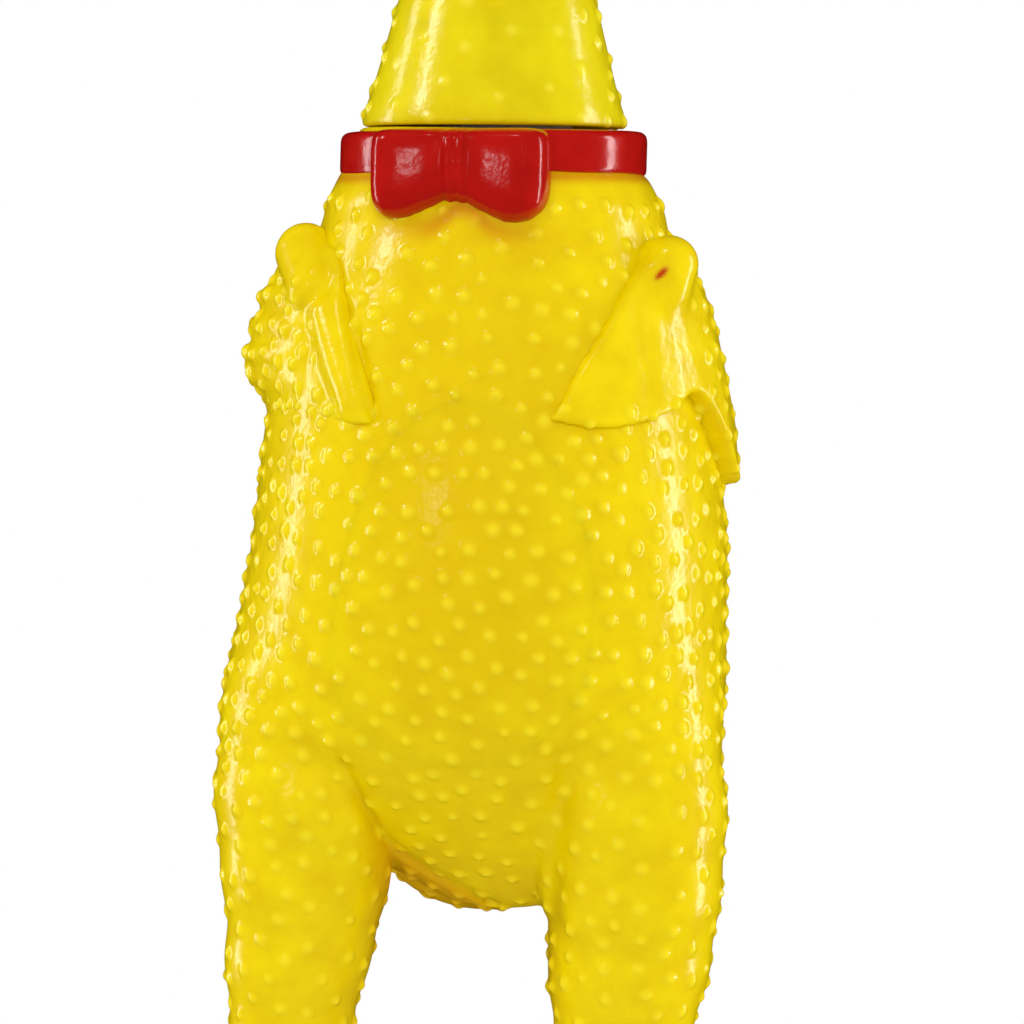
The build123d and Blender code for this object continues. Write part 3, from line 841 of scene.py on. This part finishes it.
def mouth_paint(spots):
    """Red paint inside the mouth."""
    return np.clip(1.0 - (mouth_field(*spots.T) - 0.3) / 0.5, 0, 1)


def neck_and_head_field(x, y, z):
    neck = blend_max(neck_field(x, y, z), z - NECK_TOP, 3.0)
    return blend_min(neck, head_field(x, y, z), 7.0)


def at_neck_front(p):
    return p.y < -0.5 * math.hypot(p.x, p.y)


def neck_spacing(p):
    """Pimples stand close at the neck's sides and back, and far apart at its front."""
    if p.z < PIMPLED_NECK[0] or p.z > PIMPLED_NECK[1]:
        return None
    return NECK_FRONT_PIMPLES if at_neck_front(p) else NECK_PIMPLES


def neck_pimple_height(p):
    return NECK_FRONT_PIMPLE_HEIGHT if at_neck_front(p) else PIMPLE_HEIGHT


def add_neck():
    points, quads = surface(neck_and_head_field, (-25, -25, 218), (25, 25, 290), BODY_GRID)
    bm = to_bmesh(points, quads)
    scatter_pimples(bm, neck_spacing, neck_pimple_height, SEED + 2)
    seam = NECK_FADE[0]
    cuts = [(lambda p: abs(p.z - seam) < 3, (0, 0, seam), (0, 0, 1))]
    parts = split(bm, cuts, lambda p: "neck" if p.z < seam else "head")
    bm.free()
    neck = make_piece("neck_skirt_skin", parts["neck"], LEMON)
    place(neck, "neck", "neck_vinyl", "neck_skin")
    head = make_piece("head_and_neck_skin", parts["head"], LEMON, tint=mouth_paint)
    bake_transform(head)
    place(head, None, "neck_vinyl", "head_skin")


def beak_field(x, y, z, base, tip, base_half, tip_half):
    """A blunt tapering beak with a slightly flattened section."""
    share = np.clip((y - base[1]) / (tip[1] - base[1]), 0, 1)
    middle = base[2] + (tip[2] - base[2]) * share ** 1.3
    wide = base_half[0] + (tip_half[0] - base_half[0]) * share ** 0.8
    high = base_half[1] + (tip_half[1] - base_half[1]) * share
    off = np.sqrt((x / wide) ** 2 + ((z - middle) / high) ** 2) - 1
    return blend_max(off * high, np.maximum(tip[1] - y, y - base[1]), 1.2)


def upper_beak_field(x, y, z):
    return blend_max(beak_field(x, y, z, *UPPER_BEAK), -rod(x, y, z, *PALATE), 0.8)


def lower_beak_field(x, y, z):
    return blend_max(beak_field(x, y, z, *LOWER_BEAK), -rod(x, y, z, *DISH), 0.8)


def tongue_field(x, y, z):
    return rod(x, y, z, *TONGUE)


def comb_field(x, y, z):
    """An upright blade with round-topped lobes."""
    def disc(depth, height, radius):
        return np.sqrt((y - depth) ** 2 + (z - height) ** 2) - radius

    blade = disc(*COMB_ROOT)
    for lobe in COMB_LOBES:
        blade = blend_min(blade, disc(*lobe), 1.6)
    half_thick = COMB_HALF_THICK - 0.06 * (z - COMB_ROOT[1])
    return blend_max(blade, np.abs(x) - half_thick, 2.2)


def wattle_field(x, y, z):
    return ellipsoid(x, y, z, *WATTLE)


def eye_field(x, y, z):
    return ellipsoid(x, y, z, *EYE)


def pupil_field(x, y, z):
    return ellipsoid(x, y, z, *PUPIL)


def add_face():
    comb = relief("comb_blade", comb_field, (-6, -20, 270), (6, 22, 306), RELIEF_GRID, RED)
    place(comb, "head", "red_paint", "comb")
    upper = relief(
        "upper_beak_shell", upper_beak_field, (-11, -40, 271), (11, -8, 288), RELIEF_GRID, ORANGE
    )
    place(upper, "head", "beak_orange", "upper_beak")
    lower = relief(
        "lower_beak_shell", lower_beak_field, (-11, -38, 246), (11, -8, 274), RELIEF_GRID, ORANGE
    )
    place(lower, "jaw", "beak_orange", "lower_beak")
    tongue = relief("tongue_pad", tongue_field, (-5, -33, 252), (5, -10, 268), RELIEF_GRID, RED)
    place(tongue, "jaw", "red_paint", "tongue")
    small = [
        ("wattle", wattle_field, (3, -25, 247), (11, -13, 263), RED, "jaw", "red_paint"),
        ("eye", eye_field, (5, -17, 270), (18, -2, 285), WHITE, "head", "eye_white"),
        ("pupil", pupil_field, (11, -16, 273), (18, -8, 283), BLACK, "head", "pupil_black"),
    ]
    for part, field, low, high, material, body, slot in small:
        for side in ("left", "right"):
            name = f"{side}_{part}_bead"
            bead = relief(name, field, low, high, RELIEF_GRID, material, side == "right")
            place(bead, body, slot, f"{side}_{part}")


# ---- Stage, lights and camera ---------------------------------------------------------------------
def add_world():
    """Plain white behind everything, and an even fill that doesn't show in reflections."""
    world = bpy.data.worlds.new("white")
    bpy.context.scene.world = world
    world.use_nodes = True
    nodes, links = world.node_tree.nodes, world.node_tree.links
    fill = nodes["Background"]
    fill.inputs["Color"].default_value = (1.0, 0.99, 0.97, 1)
    fill.inputs["Strength"].default_value = FILL
    seen = nodes.new("ShaderNodeBackground")
    seen.inputs["Color"].default_value = (1, 1, 1, 1)
    path = nodes.new("ShaderNodeLightPath")
    mix = nodes.new("ShaderNodeMixShader")
    links.new(path.outputs["Is Camera Ray"], mix.inputs["Fac"])
    links.new(fill.outputs["Background"], mix.inputs[1])
    links.new(seen.outputs["Background"], mix.inputs[2])
    links.new(mix.outputs["Shader"], nodes["World Output"].inputs["Surface"])
    world.cycles_visibility.glossy = False


def add_floor():
    """A white floor that fades into the background away from the toy."""
    material = bpy.data.materials.new("white_floor")
    material.use_nodes = True
    nodes, links = material.node_tree.nodes, material.node_tree.links
    output = nodes["Material Output"]
    paint = nodes["Principled BSDF"]
    paint.inputs["Base Color"].default_value = (0.95, 0.95, 0.95, 1)
    paint.inputs["Roughness"].default_value = 0.9
    clear = nodes.new("ShaderNodeBsdfTransparent")
    spot = nodes.new("ShaderNodeTexCoord")
    distance = nodes.new("ShaderNodeVectorMath")
    distance.operation = "LENGTH"
    fade = nodes.new("ShaderNodeMapRange")
    fade.inputs["From Min"].default_value = FLOOR_FADE[0]
    fade.inputs["From Max"].default_value = FLOOR_FADE[1]
    mix = nodes.new("ShaderNodeMixShader")
    links.new(spot.outputs["Object"], distance.inputs[0])
    links.new(distance.outputs["Value"], fade.inputs["Value"])
    links.new(fade.outputs["Result"], mix.inputs["Fac"])
    links.new(paint.outputs["BSDF"], mix.inputs[1])
    links.new(clear.outputs["BSDF"], mix.inputs[2])
    links.new(mix.outputs["Shader"], output.inputs["Surface"])
    bpy.ops.mesh.primitive_circle_add(
        vertices=64, radius=FLOOR_RADIUS, fill_type="NGON", location=(0, 0, -0.0005)
    )
    floor = bpy.context.object
    floor.name = "floor"
    floor.visible_glossy = False
    floor.data.materials.append(material)


def direction(azimuth, elevation):
    """The unit vector from the toy toward a place seen at that azimuth and elevation."""
    a, e = math.radians(azimuth), math.radians(elevation)
    return Vector((math.sin(a) * math.cos(e), -math.cos(a) * math.cos(e), math.sin(e)))


def add_softbox(name, azimuth, elevation, size, power, mirrored):
    """A soft light one metre away, at an angle from the camera, that shows in gloss if mirrored."""
    light = bpy.data.lights.new(name, "AREA")
    light.shape = "RECTANGLE"
    light.size, light.size_y = size
    light.energy = power
    box = bpy.data.objects.new(name, light)
    away = direction(CAMERA_AZIMUTH + azimuth, elevation)
    box.location = AIM + away
    box.rotation_mode = "QUATERNION"
    box.rotation_quaternion = away.to_track_quat("Z", "Y")
    box.visible_glossy = mirrored
    bpy.context.collection.objects.link(box)


def add_camera():
    """A long lens, a little to the toy's left and above it, tilted a little."""
    data = bpy.data.cameras.new("camera")
    data.lens = LENS
    camera = bpy.data.objects.new("camera", data)
    bpy.context.collection.objects.link(camera)
    back = direction(CAMERA_AZIMUTH, CAMERA_ELEVATION)
    turn = back.to_track_quat("Z", "Y").to_matrix().to_4x4()
    right = turn.to_3x3() @ Vector((1, 0, 0))
    turn = turn @ Matrix.Rotation(math.radians(CAMERA_ROLL), 4, "Z")
    half_view = data.sensor_width / 2 / data.lens
    camera.matrix_world = Matrix.Translation(
        AIM + right * AIM_SHIFT + back * (FRAME_HEIGHT / 2 / half_view)
    ) @ turn
    bpy.context.scene.camera = camera


add_body()
add_collar()
add_wings()
add_neck()
add_face()
add_world()
add_floor()
for light_name, settings in SOFTBOXES.items():
    add_softbox(light_name, *settings)
add_camera()
bpy.context.scene.view_settings.view_transform = "Standard"
